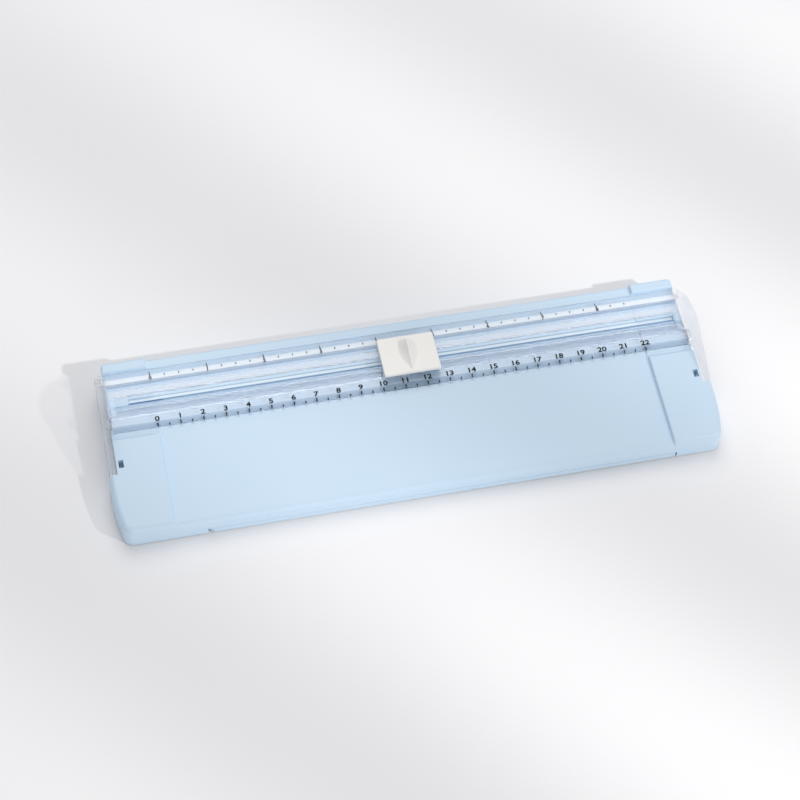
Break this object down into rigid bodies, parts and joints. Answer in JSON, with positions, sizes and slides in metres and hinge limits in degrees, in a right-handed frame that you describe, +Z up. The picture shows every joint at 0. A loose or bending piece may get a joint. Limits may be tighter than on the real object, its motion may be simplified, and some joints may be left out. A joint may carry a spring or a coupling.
{
  "type": "mini paper cutter",
  "caption": "Desk paper cutter: flat base with sunken table, clear slotted rail on hinged ears, sliding press-down blade and a fold-out ruler arm.",
  "frame": {"origin": "middle of the footprint, at the height of the soles of the feet", "axes": "+X along the rail to the right as seen from the front, +Y to the rear, +Z up"},
  "size_m": [0.2696, 0.084, 0.0234],
  "materials": {
    "base_plastic": "satin",
    "cutting_strip_plastic": "matte",
    "foot_rubber": "matte",
    "bright_steel": "satin",
    "arm_plastic": "satin",
    "rail_clear_plastic": "polished",
    "ear_clear_plastic": "polished",
    "slider_plastic": "satin",
    "spring_steel": "satin",
    "blade_steel": "polished"
  },
  "bodies": {
    "base": {"base_shell": "base_plastic", "cutting_strip": "cutting_strip_plastic", "foot_front_left": "foot_rubber", "foot_front_right": "foot_rubber", "foot_rear_left": "foot_rubber", "foot_rear_right": "foot_rubber", "ruler_pivot_screw": "bright_steel", "ruler_pivot_washer": "bright_steel"},
    "cover": {"clear_rail": "rail_clear_plastic", "left_ear": "ear_clear_plastic", "right_ear": "ear_clear_plastic"},
    "slider": {"carriage": "slider_plastic", "carriage_foot": "slider_plastic", "foot_screws": "bright_steel", "return_spring_left": "spring_steel", "return_spring_right": "spring_steel"},
    "press_head": {"thumb_plate": "slider_plastic", "blade_holder": "slider_plastic", "blade": "blade_steel", "blade_pin": "spring_steel"},
    "arm": {"ruler_arm": "arm_plastic"}
  },
  "joints": [
    {"name": "cover_hinge", "type": "hinge", "parent": "base", "child": "cover", "pos_m": [0, -0.009, 0.0098], "axis": [1, 0, 0], "range_deg": [0, 65]},
    {"name": "slider_travel", "type": "slide", "parent": "cover", "child": "slider", "axis": [1, 0, 0], "range_m": [-0.1202, 0.1127]},
    {"name": "blade_press", "type": "slide", "parent": "slider", "child": "press_head", "axis": [0, 0, -1], "range_m": [0, 0.0012], "stiffness_N_per_m": 1500, "springref_m": -0.0005, "deforming": ["return_spring_left", "return_spring_right"]},
    {"name": "arm_hinge", "type": "hinge", "parent": "base", "child": "arm", "pos_m": [0.104, -0.0345, 0], "axis": [0, 0, 1], "range_deg": [0, 90]}
  ]
}
